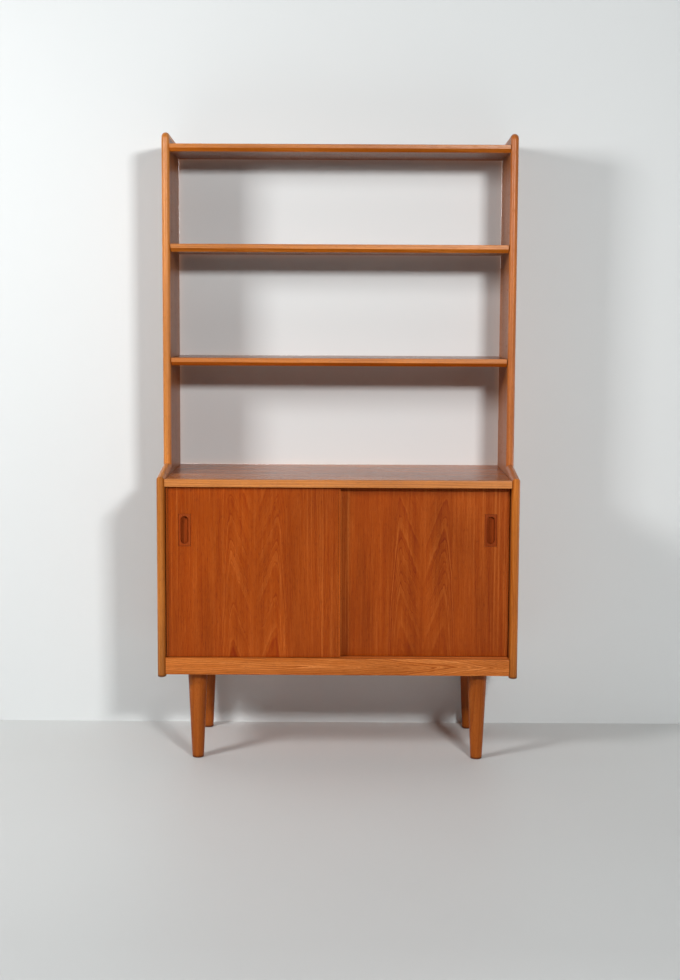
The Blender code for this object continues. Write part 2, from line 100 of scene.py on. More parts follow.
# name: place, point it faces, width and height, watts, spread in degrees
LIGHTS = {
    "softbox_key": ((1.15, -3.75, 2.05), (0, 0.1, 0.9), (0.50, 0.30), 93, 180),
    "softbox_side": ((-2.03, -1.91, 1.87), (0, 0.1, 0.9), (0.65, 0.57), 52, 180),
    "fill_right": ((3.1, -0.10, 0.45), (0.45, 0.0, 0.8), (0.20, 0.60), 1.0, 50),
    "fill_behind": ((-0.6, 3.2, 1.9), (0, 0.2, 0.8), (1.2, 1.0), 85, 180),
}
SKY_LIGHT = (0.96, 0.98, 1.0, 1)
SKY_STRENGTH = 0.02
SKY_SEEN = (0.62, 0.63, 0.63, 1)
CAMERA_PLACE = (0.01895, -4.2792, 1.1464)
CAMERA_PITCH, CAMERA_YAW, CAMERA_ROLL = -6.3645, -0.2023, 0.272
CAMERA_LENS = 60.99
CAMERA_SENSOR = 36.0


def srgb(red, green, blue):
    """8-bit display colour to linear RGBA."""
    out = []
    for value in (red, green, blue):
        value /= 255
        out.append(value / 12.92 if value <= 0.04045 else ((value + 0.055) / 1.055) ** 2.4)
    return (*out, 1.0)


# ---------------------------------------------------------------- node graphs
class Graph:
    """Short-hand for building one material's node tree."""

    def __init__(self, name):
        self.mat = bpy.data.materials.new(name)
        self.mat.use_nodes = True
        self.tree = self.mat.node_tree
        self.tree.nodes.clear()
        self.out = self.add("ShaderNodeOutputMaterial")

    def add(self, kind, **props):
        node = self.tree.nodes.new(kind)
        for key, value in props.items():
            setattr(node, key, value)
        return node

    def link(self, value, socket):
        if isinstance(value, bpy.types.NodeSocket):
            self.tree.links.new(value, socket)
        else:
            socket.default_value = value

    def math(self, operation, *values):
        node = self.add("ShaderNodeMath", operation=operation)
        for index, value in enumerate(values):
            self.link(value, node.inputs[index])
        return node.outputs[0]

    def vector(self, x, y, z):
        node = self.add("ShaderNodeCombineXYZ")
        for index, value in enumerate((x, y, z)):
            self.link(value, node.inputs[index])
        return node.outputs[0]

    def coordinates(self):
        """The three object coordinates, one socket each."""
        node = self.add("ShaderNodeSeparateXYZ")
        self.link(self.add("ShaderNodeTexCoord").outputs["Object"], node.inputs[0])
        return [node.outputs[index] for index in range(3)]

    def scaled(self, value, by):
        return self.math("MULTIPLY", value, by)

    def noise(self, vector, scale=1.0, detail=2.0, roughness=0.5):
        node = self.add("ShaderNodeTexNoise")
        self.link(vector, node.inputs["Vector"])
        node.inputs["Scale"].default_value = scale
        node.inputs["Detail"].default_value = detail
        node.inputs["Roughness"].default_value = roughness
        return node.outputs[0]

    def spread(self, value, low, high, to_low=0.0, to_high=1.0, smooth=False):
        node = self.add("ShaderNodeMapRange", clamp=True)
        if smooth:
            node.interpolation_type = "SMOOTHSTEP"
        for index, item in enumerate((value, low, high, to_low, to_high)):
            self.link(item, node.inputs[index])
        return node.outputs[0]

    def ramp(self, factor, stops):
        node = self.add("ShaderNodeValToRGB")
        elements = node.color_ramp.elements
        while len(elements) < len(stops):
            elements.new(1.0)
        for element, (place, colour) in zip(elements, stops):
            element.position = place
            element.color = colour
        self.link(factor, node.inputs[0])
        return node.outputs[0]

    def mix(self, factor, first, second, blend="MIX"):
        node = self.add("ShaderNodeMix", data_type="RGBA", blend_type=blend)
        self.link(factor, node.inputs[0])
        self.link(first, node.inputs[6])
        self.link(second, node.inputs[7])
        return node.outputs[2]

    def bump(self, height, strength, distance):
        node = self.add("ShaderNodeBump")
        node.inputs["Strength"].default_value = strength
        node.inputs["Distance"].default_value = distance
        self.link(height, node.inputs["Height"])
        return node.outputs[0]

    def surface(self, colour, roughness, normal, **fixed):
        shader = self.add("ShaderNodeBsdfPrincipled")
        self.link(colour, shader.inputs["Base Color"])
        self.link(roughness, shader.inputs["Roughness"])
        if normal is not None:
            self.link(normal, shader.inputs["Normal"])
        for key, value in fixed.items():
            shader.inputs[key.replace("_", " ")].default_value = value
        self.link(shader.outputs[0], self.out.inputs[0])
        return self.mat


# ---------------------------------------------------------------- wood
# A field gives, at a point, the height among the growth rings, how steeply it rises, how
# clearly the rings are drawn, and an offset of the tone. Four numbers in brackets are the
# range of a measure and the two values that it is spread to.
X, Y, Z = 0, 1, 2
ARCH_TIP = 0.003
ARCH_RISE = 2.8
ARCH_FLANK = 0.55
ARCH_BEND, ARCH_BEND_WAVES = 0.012, 9.0
ARCH_RIPPLE, ARCH_RIPPLE_WAVES = 0.030, (26.0, 130.0)
OUTER_BEND = 280.0
OUTER_REACH = 0.030
SHIFTED_BELOW = (0.33, 0.52)
SEAM_BLUR = (0.003, 0.022, 0.12, 1.0)
LEAF_TONE = (0.35, 0.68, 0.01, 0.05)
STRAIGHT_WAVES = (2.0, 9.0)
DEPTH_RINGS = 0.6
FLAME_TIP = 0.0015
FLAME_RISE = 9.0
FLAME_BEND, FLAME_BEND_WAVES = 0.016, 7.0
FLAME_RIPPLE, FLAME_RIPPLE_WAVES = (-0.20, 0.05, 0.010, 0.045), (30.0, 160.0)
FLAME_ONSET = -0.08
FLAME_CLOSING = 1.5
FLAME_DRIFT = 0.15
FLAME_DEPTH_RINGS = 4.0


def ripples(graph, along, side, waves, seed):
    """Small unevenness of the rings, with so many waves per metre along and across the grain."""
    return graph.noise(graph.vector(graph.scaled(along, waves[0]), graph.scaled(side, waves[1]), seed),
                       detail=3.0)


def arched(seam, heart, lean, shift, seed):
    """Two book-matched leaves: nested pointed arches, upright grain towards the outside.

    seam is the joint between the leaves, heart the arches' distance from it, and shift
    how much higher one leaf's figure lies at the foot of the board.
    """
    def field(graph, along, side, deep):
        away = graph.math("SUBTRACT", side, seam)
        leaf = graph.math("SIGN", away)
        bend = graph.noise(graph.vector(graph.scaled(along, ARCH_BEND_WAVES), leaf, seed))
        drift = graph.math("MULTIPLY_ADD", along, lean, graph.scaled(bend, ARCH_BEND))
        inner = graph.math("ADD", graph.math("SUBTRACT", heart, graph.math("ABSOLUTE", away)), drift)
        tip = graph.math("SQRT", graph.math("MULTIPLY_ADD", inner, inner, ARCH_TIP ** 2))
        outer = graph.math("MAXIMUM", graph.scaled(inner, -1.0), 0.0)
        close = graph.math("MINIMUM", outer, OUTER_REACH)
        curve = graph.scaled(graph.math("MULTIPLY", close, close), OUTER_BEND)
        beyond = graph.math("SUBTRACT", outer, close)
        curve = graph.math("MULTIPLY_ADD", beyond, 2 * OUTER_BEND * OUTER_REACH, curve)
        height = graph.math("ADD", along, graph.math("MULTIPLY_ADD", tip, ARCH_RISE, curve))
        foot = graph.spread(along, *SHIFTED_BELOW, shift, 0.0)
        height = graph.math("MULTIPLY_ADD", leaf, foot, height)
        ripple = ripples(graph, along, side, ARCH_RIPPLE_WAVES, seed)
        height = graph.math("MULTIPLY_ADD", ripple, ARCH_RIPPLE, height)
        flank = graph.spread(tip, ARCH_TIP, 4 * ARCH_TIP, 1.0, ARCH_FLANK, smooth=True)
        steep = graph.math("MULTIPLY_ADD", close, OUTER_BEND / 2, flank)
        clear = graph.spread(graph.math("ABSOLUTE", away), *SEAM_BLUR, smooth=True)
        leaf_tone = graph.math("MULTIPLY", leaf, graph.spread(along, *LEAF_TONE))
        return height, steep, clear, leaf_tone
    return field


def straight(seed, wander=0.02, tilt=0.0):
    """Nearly parallel growth rings."""
    def field(graph, along, side, deep):
        wave = graph.noise(graph.vector(graph.math("MULTIPLY_ADD", along, STRAIGHT_WAVES[0], seed),
                                        graph.scaled(side, STRAIGHT_WAVES[1]), deep))
        lateral = graph.math("MULTIPLY_ADD", along, tilt, side)
        lateral = graph.math("MULTIPLY_ADD", wave, wander, lateral)
        return graph.math("MULTIPLY_ADD", deep, DEPTH_RINGS, lateral), 1.0, 1.0, 0.0
    return field


def flame(middle, seed):
    """Nearly straight rings on the left that close into long pointed tongues on the right."""
    def field(graph, along, side, deep):
        wander = graph.noise(graph.vector(graph.scaled(along, FLAME_BEND_WAVES), seed, deep))
        wander = graph.math("MULTIPLY_ADD", wander, FLAME_BEND, -FLAME_BEND / 2 - middle)
        away = graph.math("ADD", side, wander)
        away = graph.math("SQRT", graph.math("MULTIPLY_ADD", away, away, FLAME_TIP ** 2))
        onset = graph.math("MAXIMUM", graph.math("ADD", along, -FLAME_ONSET), 0.0)
        run = graph.scaled(graph.math("MULTIPLY", onset, onset), FLAME_CLOSING)
        height = graph.math("ADD", graph.math("MULTIPLY_ADD", away, FLAME_RISE, run),
                            graph.scaled(along, FLAME_DRIFT))
        ripple = ripples(graph, along, side, FLAME_RIPPLE_WAVES, seed)
        lift = graph.spread(along, *FLAME_RIPPLE, smooth=True)
        height = graph.math("MULTIPLY_ADD", ripple, lift, height)
        return graph.math("MULTIPLY_ADD", deep, FLAME_DEPTH_RINGS, height), 1.0, 1.0, 0.0
    return field


# how unevenly wide the rings are; within a ring, 0..1, where its dark line rises and falls
# and its pale line falls; the faintest ring's strength
RING_UNEVEN, RING_UNEVEN_LENGTH = 1.6, 3.1
DARK_RISES, DARK_FALLS, PALE_FALLS = (0.40, 0.90), (0.92, 1.0), (0.02, 0.42)
FAINTEST_RING = 0.10
# an arch's tone across its line, 0.5 being no change, and the line's two edges in metres
ARCH_LINE = [(0.0, 0.5), (0.35, 0.58), (0.62, 0.73), (0.80, 0.15), (0.90, 0.27), (1.0, 0.5)]
ARCH_LINE_EDGES = (-0.018, 0.005)


def growth_lines(graph, pith, ring, seed):
    """Masks of the dark late wood and of the pale line beside it, each ring its own strength."""
    place = graph.vector(graph.math("DIVIDE", pith, RING_UNEVEN_LENGTH * ring), seed, 0.0)
    uneven = graph.noise(place, detail=1.0)
    phase = graph.math("MULTIPLY_ADD", uneven, RING_UNEVEN, graph.math("DIVIDE", pith, ring))
    within = graph.math("FRACT", phase)
    dark = graph.math("MULTIPLY", graph.spread(within, *DARK_RISES, smooth=True),
                      graph.spread(within, *DARK_FALLS, 1.0, 0.0))
    pale = graph.spread(within, *PALE_FALLS, 1.0, 0.0, smooth=True)
    masks = []
    for mask, offset in ((dark, 0.5), (pale, 1.5)):
        pick = graph.add("ShaderNodeTexWhiteNoise", noise_dimensions="2D")
        graph.link(graph.vector(graph.math("FLOOR", phase), seed + offset, 0.0),
                   pick.inputs["Vector"])
        strength = graph.math("MULTIPLY", pick.outputs[0], pick.outputs[0])
        strength = graph.spread(strength, 0.0, 1.0, FAINTEST_RING, 1.0)
        masks.append(graph.math("MULTIPLY", mask, strength))
    return masks


def arch_lines(graph, pith, steep, heights):
    """Tone offset of the strongest arches, each a dark line with a pale one inside it."""
    stops = [(place, (tone, tone, tone, 1.0)) for place, tone in ARCH_LINE]
    total = -0.5 * len(heights)
    for height in heights:
        apart = graph.math("DIVIDE", graph.math("SUBTRACT", pith, height), steep)
        line = graph.ramp(graph.spread(apart, *ARCH_LINE_EDGES), stops)
        total = graph.math("ADD", line, total)
    return total


# waves per metre along the grain, across it and into the board, and the noise's detail
GRAIN = {"bands": (2.6, 105.0, 60.0, 3.0), "fibres": (26.0, 470.0, 470.0, 3.0),
         "cloud": (2.4, 12.0, 12.0, 2.0), "vessels": (75.0, 1600.0, 1600.0, 1.0),
         "threads": (0.8, 210.0, 60.0, 2.0)}
# how rough the fine noise is, and the part of a noise's range that is spread to 0..1
NOISE_ROUGH = 0.6
NOISE_RANGE = (0.30, 0.70)
# a seed's shift of the noise along the three axes
SEED_SHIFT = (1.37, 0.53, 0.71)
# how far the bands, the fibres and the clouds move the tone
BAND_SHARE = 0.48
FIBRE_SHARE = 0.36
CLOUD_SHARE = 0.15
# the finer rings' strength, width and seed beside the main ones
FINE_SHARE, FINE_RING, FINE_SEED = 0.4, 0.29, 3.0
# the dark heart, the arches' breaks along the fibres, and the pale threads far outside
HEART_TONE, HEART_EDGE = -0.34, 0.010
ARCH_BREAKS = (0.0, 0.7, 0.35, 1.1)
THREAD_EDGES, THREADS_FROM = (0.62, 0.95), (1.4, 2.2)
# the cloudy shade; a band of painted shade just above a lower end and its tone; the height over which
# the painted shade above a foot fades
SHADE_LOW, SHADE_RANGE = 0.85, 0.30
PAINTED_FOOT_BAND, PAINTED_FOOT_BAND_SHADE = (0.002, 0.008), 0.35
FOOT_FADE = 0.15
# the vessels: where they stand out of their noise, and their shade beside the darkest wood
VESSEL_EDGES, VESSEL_SHADE = (0.72, 0.92), 0.42
# roughness: half its range over the fibres, and the vessels' extra
FIBRE_ROUGH, VESSEL_ROUGH = 0.05, 0.18
# relief: heights of fibres, vessels and dark lines, then strength and distance
FIBRE_HEIGHT, VESSEL_HEIGHT, LINE_HEIGHT = 0.35, -1.0, -0.2
RELIEF = (0.30, 0.00025)


def fibre_noise(graph, place, texture):
    """Noise drawn out along the fibres, spread to 0..1."""
    *waves, detail = GRAIN[texture]
    axes = [graph.scaled(value, count) for value, count in zip(place, waves)]
    return graph.spread(graph.noise(graph.vector(*axes), 1.0, detail, NOISE_ROUGH), *NOISE_RANGE)


def wood(name, grain, across, tones, field, seed, ring, dark=0.35, pale=0.25, streak=0.5,
         pores=0.45, rough=0.38, shine=0.5, heart=None, arches=(), gold=0.0, foot=None):
    """Teak from object coordinates: growth rings, streaks, fibres, pores and cloudy colour.

    grain and across are the axes along and across the fibres on the widest face; tones are
    the dark, middle and pale colours. heart is the ring inside which the wood is dark,
    arches the rings drawn strongest, and gold the strength of pale streaks far outside them.
    foot is the height of the lower end, where a band of painted shade darkens the wood, and the painted
    shade just above it, which fades upwards.
    """
    graph = Graph(name)
    axes = graph.coordinates()
    along, side, deep = axes[grain], axes[across], axes[3 - grain - across]
    pith, steep, clear, leaf_tone = field(graph, along, side, deep)
    late, early = growth_lines(graph, pith, ring, seed)
    fine_late, fine_early = growth_lines(graph, pith, ring * FINE_RING, seed + FINE_SEED)
    place = [graph.math("ADD", value, seed * shift)
             for value, shift in zip((along, side, deep), SEED_SHIFT)]
    bands = fibre_noise(graph, place, "bands")
    fibres = fibre_noise(graph, place, "fibres")
    cloud = fibre_noise(graph, place, "cloud")
    vessels = graph.spread(fibre_noise(graph, place, "vessels"), *VESSEL_EDGES, smooth=True)

    rings = graph.scaled(late, -dark)
    rings = graph.math("MULTIPLY_ADD", early, pale, rings)
    rings = graph.math("MULTIPLY_ADD", fine_late, -FINE_SHARE * dark, rings)
    rings = graph.math("MULTIPLY_ADD", fine_early, FINE_SHARE * pale, rings)
    middle = 0.5 - (BAND_SHARE + FIBRE_SHARE) / 2 * streak - 0.5 * CLOUD_SHARE
    tone = graph.math("ADD", graph.math("MULTIPLY_ADD", rings, clear, middle), leaf_tone)
    tone = graph.math("MULTIPLY_ADD", bands, BAND_SHARE * streak, tone)
    tone = graph.math("MULTIPLY_ADD", fibres, FIBRE_SHARE * streak, tone)
    tone = graph.math("MULTIPLY_ADD", cloud, CLOUD_SHARE, tone)
    if arches:
        broken = graph.math("MULTIPLY", graph.spread(fibres, *ARCH_BREAKS), clear)
        tone = graph.math("MULTIPLY_ADD", arch_lines(graph, pith, steep, arches), broken, tone)
    if heart is not None:
        inside = graph.spread(pith, heart - HEART_EDGE, heart, 1.0, 0.0)
        tone = graph.math("MULTIPLY_ADD", inside, HEART_TONE, tone)
    if gold:
        threads = graph.spread(fibre_noise(graph, place, "threads"), *THREAD_EDGES, smooth=True)
        threads = graph.math("MULTIPLY", threads, graph.spread(pith, *THREADS_FROM))
        tone = graph.math("MULTIPLY_ADD", threads, gold, tone)
    colour = graph.ramp(tone, list(zip((0.0, 0.5, 1.0), tones)))
    shade = graph.math("MULTIPLY_ADD", cloud, SHADE_RANGE, SHADE_LOW)
    # painted shade at a lower end: a dark band right above it and a shade that fades upwards, standing
    # for the shadow there
    if foot is not None:
        level, painted_foot_shade = foot
        painted_foot_band = graph.spread(axes[Z], level + PAINTED_FOOT_BAND[0], level + PAINTED_FOOT_BAND[1], PAINTED_FOOT_BAND_SHADE, 1.0,
                              smooth=True)
        shade = graph.math("MULTIPLY", shade, painted_foot_band)
        faded = graph.spread(axes[Z], level, level + FOOT_FADE, painted_foot_shade, 1.0)
        shade = graph.math("MULTIPLY", shade, faded)
    colour = graph.mix(1.0, colour, graph.vector(shade, shade, shade), "MULTIPLY")
    vessel_colour = tuple(VESSEL_SHADE * c for c in tones[0][:3]) + (1.0,)
    colour = graph.mix(graph.scaled(vessels, pores), colour, vessel_colour)

    gloss = graph.spread(fibres, 0.0, 1.0, rough - FIBRE_ROUGH, rough + FIBRE_ROUGH)
    gloss = graph.math("MULTIPLY_ADD", vessels, VESSEL_ROUGH, gloss)
    height = graph.math("MULTIPLY_ADD", vessels, VESSEL_HEIGHT, graph.scaled(fibres, FIBRE_HEIGHT))
    height = graph.math("MULTIPLY_ADD", late, LINE_HEIGHT, height)
    return graph.surface(colour, gloss, graph.bump(height, *RELIEF), Specular_IOR_Level=shine)


# how much red, green and blue count towards a tone's reach
TONE_WEIGHTS = (0.26, 0.78, 0.15)


def tones(middle, contrast=0.20):
    """Dark, middle and pale display colours, equally far apart in each channel."""
    reach = contrast * sum(weight * value for weight, value in zip(TONE_WEIGHTS, middle))
    return [srgb(*(min(max(value + step * reach, 0), 255) for value in middle))
            for step in (-1, 0, 1)]


LIP_TONES = {"left": tones((203, 124, 51)), "right": tones((188, 105, 40))}
LOWER_LIP_TONES = {"left": tones((189, 112, 41)), "right": tones((183, 101, 27))}
SIDE_TONES = {"left": tones((154, 90, 44), 0.26), "right": tones((166, 95, 40), 0.26)}
SHELF_TONES = tones((142, 77, 28), 0.26)
CABINET_TOP_TONES = tones((183, 103, 40), 0.45)
CABINET_FLOOR_TONES = tones((188, 98, 36))
BAR_TONES = tones((201, 123, 53))
NOSE_TONES = {"top_shelf": tones((187, 111, 43)), "upper_shelf": tones((197, 119, 48)),
              "middle_shelf": tones((192, 111, 40))}
# the shelf lippings' bevels and undersides, darker than their noses: painted shade on faces that look
# down
PAINTED_SHADE_BEVEL_TONES = {"top": tones((172, 92, 22)), "upper": tones((177, 98, 26)),
               "middle": tones((158, 76, 12))}
DOOR_TONES = {"left": tones((153, 65, 6), 0.24), "right": tones((152, 65, 6), 0.26)}
RAIL_TONES = tones((193, 108, 42), 0.22)
EDGE_TONES = tones((166, 77, 18))
PULL_TONES = tones((144, 60, 14))
# the finger slot's inside, a little darker than the pull: painted shade in the hollow
PAINTED_SHADE_SLOT_TONES = tones((139, 57, 15))
LEG_TONES = tones((151, 75, 14))
BACK_TONES = tones((170, 126, 84), 0.16)


def build_materials():
    mats = {}
    mats["door_left"] = wood("teak_door_left", Z, X, DOOR_TONES["left"],
                             arched(seam=-0.2085, heart=0.0405, lean=0.020, shift=-0.016, seed=0.4),
                             seed=0.31, ring=0.085,
                             dark=0.24, pale=0.26, streak=0.75, shine=0.14, heart=0.338,
                             arches=(0.440, 0.534, 0.560, 0.588, 0.650, 0.700), gold=0.45)
    mats["door_right"] = wood("teak_door_right", Z, X, DOOR_TONES["right"],
                              arched(seam=0.2115, heart=0.0425, lean=0.014, shift=0.003, seed=2.6),
                              seed=0.87, ring=0.085,
                              dark=0.24, pale=0.26, streak=0.75, shine=0.14,
                              arches=(0.473, 0.503, 0.530, 0.562, 0.592, 0.646), gold=0.55)
    for index, side in enumerate(SIDES):
        mats[f"side_{side}"] = wood(f"teak_side_{side}", Z, Y, SIDE_TONES[side],
                                    straight(1.0 + index), 1.3 + index, 0.014, shine=0.35)
        mats[f"lip_{side}"] = wood(f"teak_lip_{side}", Z, X, LIP_TONES[side], straight(7.0 + index),
                                   7.3 + index, 0.006, shine=0.44)
        # the lower lippings get painted shade at their feet
        mats[f"lip_{side}_low"] = wood(f"teak_lip_{side}_low", Z, X, LOWER_LIP_TONES[side],
                                       straight(7.5 + index), 7.8 + index, 0.006, shine=0.30,
                                       foot=(SIDE_BOTTOM_Z, 0.72))
        mats[f"lip_{side}_deep"] = wood(f"teak_lip_{side}_deep", Y, X, LIP_TONES[side],
                                        straight(9.0 + index), 9.3 + index, 0.006)
    boards = {"top_shelf": (SHELF_TONES, 0.38, 0.32), "upper_shelf": (SHELF_TONES, 0.28, 0.42),
              "middle_shelf": (SHELF_TONES, 0.26, 0.45), "cabinet_top": (CABINET_TOP_TONES, 0.24, 0.29),
              "cabinet_floor": (CABINET_FLOOR_TONES, 0.45, 0.15),
              "inner_shelf": (SHELF_TONES, 0.38, 0.32)}
    for index, (name, (board_tones, rough, shine)) in enumerate(boards.items()):
        mats[name] = wood(f"teak_{name}", X, Y, board_tones, straight(3.0 + index, 0.05, 0.03),
                          3.4 + 0.7 * index, 0.013, streak=0.8, rough=rough, shine=shine)
        if f"{name}_lip" in NODES:
            mats[f"{name}_lip"] = wood(f"teak_{name}_lip", X, Z, NOSE_TONES.get(name, BAR_TONES),
                                       straight(5.0 + index, 0.02, 0.012), 5.6 + 0.9 * index, 0.005)
    # darker copies of the lipping wood for the faces that look down: painted shade
    for index, (place, painted_shade_bevel_tones) in enumerate(PAINTED_SHADE_BEVEL_TONES.items()):
        mats[f"{place}_shelf_bevel"] = wood(f"teak_{place}_shelf_bevel", X, Z, painted_shade_bevel_tones,
                                            straight(5.0 + index, 0.02, 0.012), 5.6 + 0.9 * index,
                                            0.005, shine=0.10)
    low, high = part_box("front_rail")
    mats["rail"] = wood("teak_rail", X, Z, RAIL_TONES, flame((low.z + high.z) / 2, 2.3), 12.4, 0.044,
                        dark=0.95, pale=0.40, streak=0.7, shine=0.20)
    mats["rear_rail"] = wood("teak_rear_rail", X, Z, RAIL_TONES, straight(13.0), 13.4, 0.006)
    mats["pull"] = wood("teak_pull", Z, X, PULL_TONES, straight(14.0), 14.1, 0.005, rough=0.5,
                        shine=0.10)
    mats["slot"] = wood("teak_finger_slot_painted_shade", Z, X, PAINTED_SHADE_SLOT_TONES, straight(14.5), 14.6, 0.005, rough=0.6,
                        shine=0.05)
    mats["edge"] = wood("teak_door_edge", Z, Y, EDGE_TONES, straight(15.0), 15.1, 0.006, shine=0.15)
    # the legs get a band of painted shade right at the floor
    mats["leg"] = wood("teak_leg", Z, X, LEG_TONES, straight(16.0), 16.3, 0.008, dark=0.22,
                       pale=0.16, shine=0.20, foot=(0.0, 1.0))
    mats["back"] = wood("plywood_back", Z, X, BACK_TONES, straight(17.5, 0.12, 0.04), 17.0, 0.022,
                        pores=0.2, rough=0.65, shine=0.25)
    mats["steel"] = metal("zinc_steel", (0.56, 0.56, 0.54, 1), (0.42, 0.42, 0.41, 1), 0.38)
    mats["brass"] = metal("brass", (0.76, 0.56, 0.24, 1), (0.52, 0.35, 0.13, 1), 0.32)
    return mats


# tarnish spots and scratches: waves per metre, ranges, relief, and the change of roughness
SPOT_WAVES = 240.0
SPOT_EDGES = (0.45, 0.75)
SCRATCH_WAVES = (60.0, 2600.0, 2600.0)
SCRATCH_RELIEF = (0.15, 0.0001)
POLISHED, SCRATCHED = -0.08, 0.12


def metal(name, bright, dull, rough):
    """Plated metal with faint tarnish and fine scratches."""
    graph = Graph(name)
    axes = graph.coordinates()
    spots = graph.noise(graph.vector(*axes), SPOT_WAVES, 4.0, NOISE_ROUGH)
    lines = [graph.scaled(value, count) for value, count in zip(axes, SCRATCH_WAVES)]
    scratch = graph.noise(graph.vector(*lines), roughness=NOISE_ROUGH)
    colour = graph.mix(graph.spread(spots, *SPOT_EDGES), bright, dull)
    gloss = graph.spread(scratch, *NOISE_RANGE, rough + POLISHED, rough + SCRATCHED)
    return graph.surface(colour, gloss, graph.bump(scratch, *SCRATCH_RELIEF), Metallic=1.0)


# ---------------------------------------------------------------- shapes
def finish_piece(name, bm, mat, body, replaced, angle=35):
    """Mesh to object, smooth where round, riding on its body in place of CAD nodes."""
    bmesh.ops.recalc_face_normals(bm, faces=bm.faces)
    mesh = bpy.data.meshes.new(name)
    bm.to_mesh(mesh)
    bm.free()
    mesh.shade_smooth()
    mesh.set_sharp_from_angle(angle=math.radians(angle))
    mesh.materials.append(mat)
    obj = bpy.data.objects.new(name, mesh)
    bpy.context.scene.collection.objects.link(obj)
    even = obj.modifiers.new("even_normals", "WEIGHTED_NORMAL")
    even.keep_sharp = True
    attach(obj, body)
    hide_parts(*replaced)
    return obj


def eased(name, node, mat, body, width, segments=1):
    """The CAD node's own shape with its sharp edges broken."""
    bm = bmesh.new()
    bm.from_mesh(NODES[node].data)
    bmesh.ops.remove_doubles(bm, verts=bm.verts, dist=1e-5)
    bmesh.ops.dissolve_limit(bm, angle_limit=math.radians(1), verts=bm.verts, edges=bm.edges)
    sharp = [edge for edge in bm.edges
             if len(edge.link_faces) == 2 and edge.calc_face_angle(0) > math.radians(40)]
    bmesh.ops.bevel(bm, geom=sharp, offset=width, segments=segments, profile=0.5,
                    affect="EDGES", clamp_overlap=True)
    finish_piece(name, bm, mat, body, [node])


def profile_bar(name, outline, low, high, mat, body, node, ease):
    """A (y, z) outline run along X with softened ends."""
    bm = bmesh.new()
    turn = 0.3 * ease
    stations = [(low, ease), (low + turn, turn), (low + ease, 0.0),
                (high - ease, 0.0), (high - turn, turn), (high, ease)]
    cy = sum(p[0] for p in outline) / len(outline)
    cz = sum(p[1] for p in outline) / len(outline)
    rings = []
    for x, shrink in stations:
        ring = []
        for y, z in outline:
            away = Vector((y - cy, z - cz))
            scale = 1 - shrink / max(away.length, 1e-4)
            ring.append(bm.verts.new((x, cy + away.x * scale, cz + away.y * scale)))
        rings.append(ring)
    skin(bm, rings)
    return finish_piece(name, bm, mat, body, [node])


def skin(bm, rings):
    """Quads between neighbouring rings, and a cap on each end."""
    count = len(rings[0])
    for first, second in zip(rings, rings[1:]):
        for i in range(count):
            j = (i + 1) % count
            bm.faces.new((first[i], first[j], second[j], second[i]))
    bm.faces.new(rings[0])
    bm.faces.new(rings[-1])


def rounded(points, radius, steps=6):
    """Rounds the marked corners of an outline: points are (y, z, round?)."""
    out = []
    count = len(points)
    for i, (y, z, turn) in enumerate(points):
        here = Vector((y, z))
        if not turn:
            out.append(here)
            continue
        before = Vector(points[i - 1][:2]) - here
        after = Vector(points[(i + 1) % count][:2]) - here
        start, end = here + before.normalized() * radius, here + after.normalized() * radius
        for step in range(steps + 1):
            t = step / steps
            out.append(start.lerp(here, t).lerp(here.lerp(end, t), t))
    return [(p.x, p.y) for p in out]


def bevelled_outline(low, high, bevel=0.0088, radius=0.0015, above=0.0008, ease=0.0006, steps=6):
    """A shelf lipping's cross-section: rounded on top, bevelled at 45 degrees below."""
    points = [(high.y, high.z)]
    for step in range(steps + 1):
        turn = math.pi / 2 * step / steps
        points.append((low.y + radius * (1 - math.sin(turn)), high.z - radius * (1 - math.cos(turn))))
    for step in range(3):
        share = step / 2
        points.append((low.y + ease * share ** 2, low.z + bevel + above - (above + ease) * share))
    points += [(low.y + bevel - ease / 2, low.z + ease / 2), (low.y + bevel + above / 2, low.z)]
    return points + [(high.y, low.z)]


# ---------------------------------------------------------------- side lippings
def inward(start, end):
    """Unit normal of a (y, z) line, pointing into the board."""
    along = (end - start).normalized()
    return Vector((along.y, -along.x))


LINE = [Vector(p) for p in ((FRONT_Y, SIDE_BOTTOM_Z), (FRONT_Y, SLOPE_LOW_Z),
                            (UPPER_FRONT_Y, SLOPE_HIGH_Z), (UPPER_FRONT_Y, SIDE_TOP_FRONT_Z),
                            (BACK_Y, SIDE_TOP_BACK_Z))]
NORMALS = [inward(a, b) for a, b in zip(LINE, LINE[1:])]
RUNS = [(b - a).normalized() for a, b in zip(LINE, LINE[1:])]


def mitre(first, second):
    """Vector along the mitre of two edges, one unit deep, from their inward normals."""
    return (first + second) / (1 + first.dot(second))


def corner_station(part):
    """Apex and inward normal on the rounded top corner."""
    start = math.atan2(NORMALS[2].y, NORMALS[2].x)
    end = math.atan2(NORMALS[3].y, NORMALS[3].x)
    centre = LINE[3] + mitre(NORMALS[2], NORMALS[3]) * TOP_CORNER_R
    angle = start + (end - start) * part
    normal = Vector((math.cos(angle), math.sin(angle)))
    return centre - normal * TOP_CORNER_R, normal


def lip_stations():
    """(apex, depth vector) stations of the four mitred lengths."""
    first, second = mitre(NORMALS[0], NORMALS[1]), mitre(NORMALS[1], NORMALS[2])
    half_gap = GAP / 2
    parts = {
        "lower": [(LINE[0], NORMALS[0]), (LINE[1] - RUNS[0] * half_gap, first)],
        "slope": [(LINE[1] + RUNS[1] * half_gap, first), (LINE[2] - RUNS[1] * half_gap, second)],
        "upper": [(LINE[2] + RUNS[2] * half_gap, second)],
        "top": [],
    }
    steps = 12
    for step in range(steps + 1):
        apex, normal = corner_station(step / steps)
        shift = Vector((-normal.y, normal.x)) * half_gap
        if step <= steps // 2:
            parts["upper"].append((apex - shift * (step == steps // 2), normal))
        if step >= steps // 2:
            parts["top"].append((apex + shift * (step == steps // 2), normal))
    parts["top"].append((LINE[4], Vector((0, -1))))
    return parts


